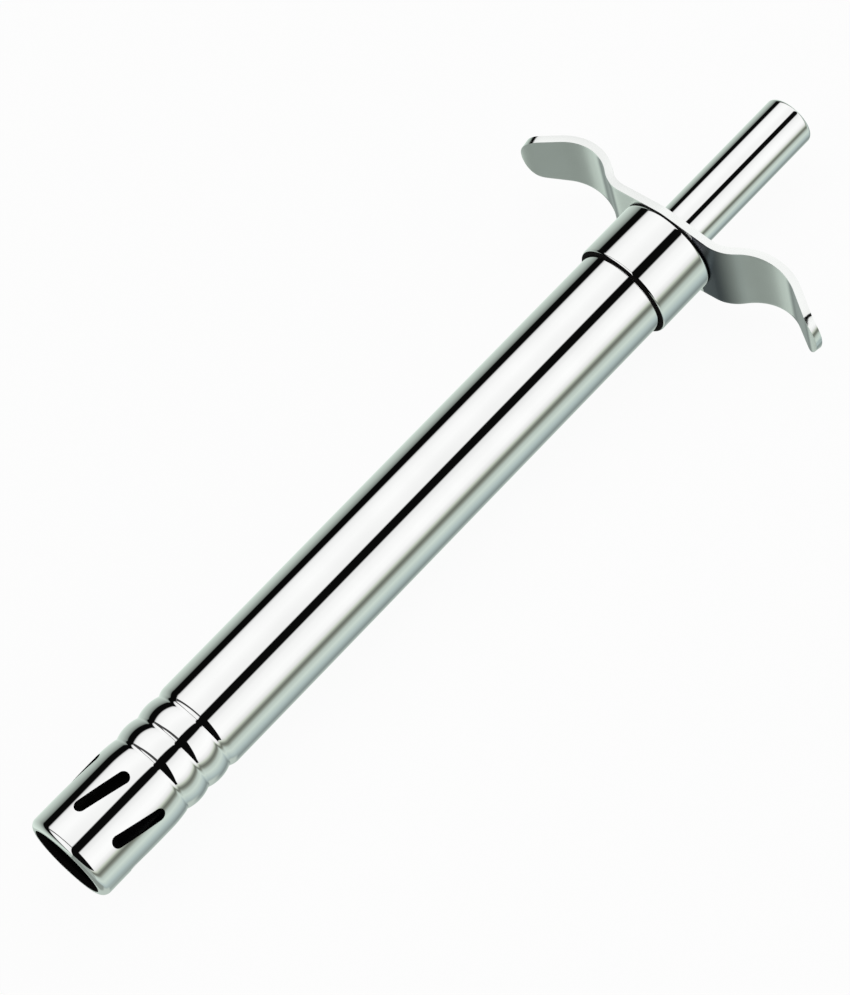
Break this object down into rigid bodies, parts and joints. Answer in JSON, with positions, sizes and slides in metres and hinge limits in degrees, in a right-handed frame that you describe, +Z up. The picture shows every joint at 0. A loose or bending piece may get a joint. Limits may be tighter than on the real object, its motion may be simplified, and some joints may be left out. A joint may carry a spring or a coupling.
{
  "type": "piezo gas lighter",
  "caption": "Stick-type kitchen gas lighter: polished steel tube with slotted nozzle, S-bent finger grip, sprung push plunger and a piezo striker inside.",
  "frame": {"origin": "centre of the open nozzle mouth, on the tube's axis, in the plane of the rolled rim", "axes": "+X along the tube from the nozzle mouth to the push plunger; the finger grip's two wings lie along +Y and -Y; +Z up when the lighter lies flat"},
  "size_m": [0.2129, 0.08, 0.0224],
  "materials": {
    "polished_steel": "mirror-polished stainless tube, cap and plunger",
    "satin_steel": "tumbled pressed strip with a soft satin sheen",
    "hardened_steel": "ground and blackened tool steel",
    "spring_steel": "drawn wire",
    "zinc_steel": "bright zinc plate",
    "brass": "turned, lightly tarnished",
    "nylon": "natural moulded nylon",
    "sleeving": "extruded insulating tube",
    "crystal": "fired piezo ceramic with silvered ends"
  },
  "bodies": {
    "barrel": {"barrel_tube": "polished_steel", "collar_cap": "polished_steel", "finger_grip": "satin_steel", "guide_bush": "brass", "striker_housing": "nylon", "nozzle_insulator": "nylon", "electrode": "brass", "electrode_sleeve": "sleeving", "contact_spring": "spring_steel", "front_terminal": "brass", "piezo_crystal": "crystal", "anvil": "hardened_steel", "lower_spring_washer": "zinc_steel"},
    "plunger": {"plunger_tube": "polished_steel", "plunger_core": "nylon", "cam_sleeve": "zinc_steel", "stop_ring": "zinc_steel", "upper_spring_washer": "zinc_steel", "return_spring": "spring_steel", "hammer_spring": "spring_steel"},
    "hammer": {"hammer": "hardened_steel", "hammer_pin": "hardened_steel"}
  },
  "joints": [
    {"name": "plunger_slide", "type": "slide", "parent": "barrel", "child": "plunger", "axis": [-1, 0, 0], "range_m": [0, 0.014], "stiffness_N_per_m": 600, "springref_m": -0.004, "deforming": ["return_spring", "hammer_spring"]},
    {"name": "hammer_slide", "type": "slide", "parent": "barrel", "child": "hammer", "axis": [-1, 0, 0], "range_m": [0, 0.006], "stiffness_N_per_m": 300}
  ]
}
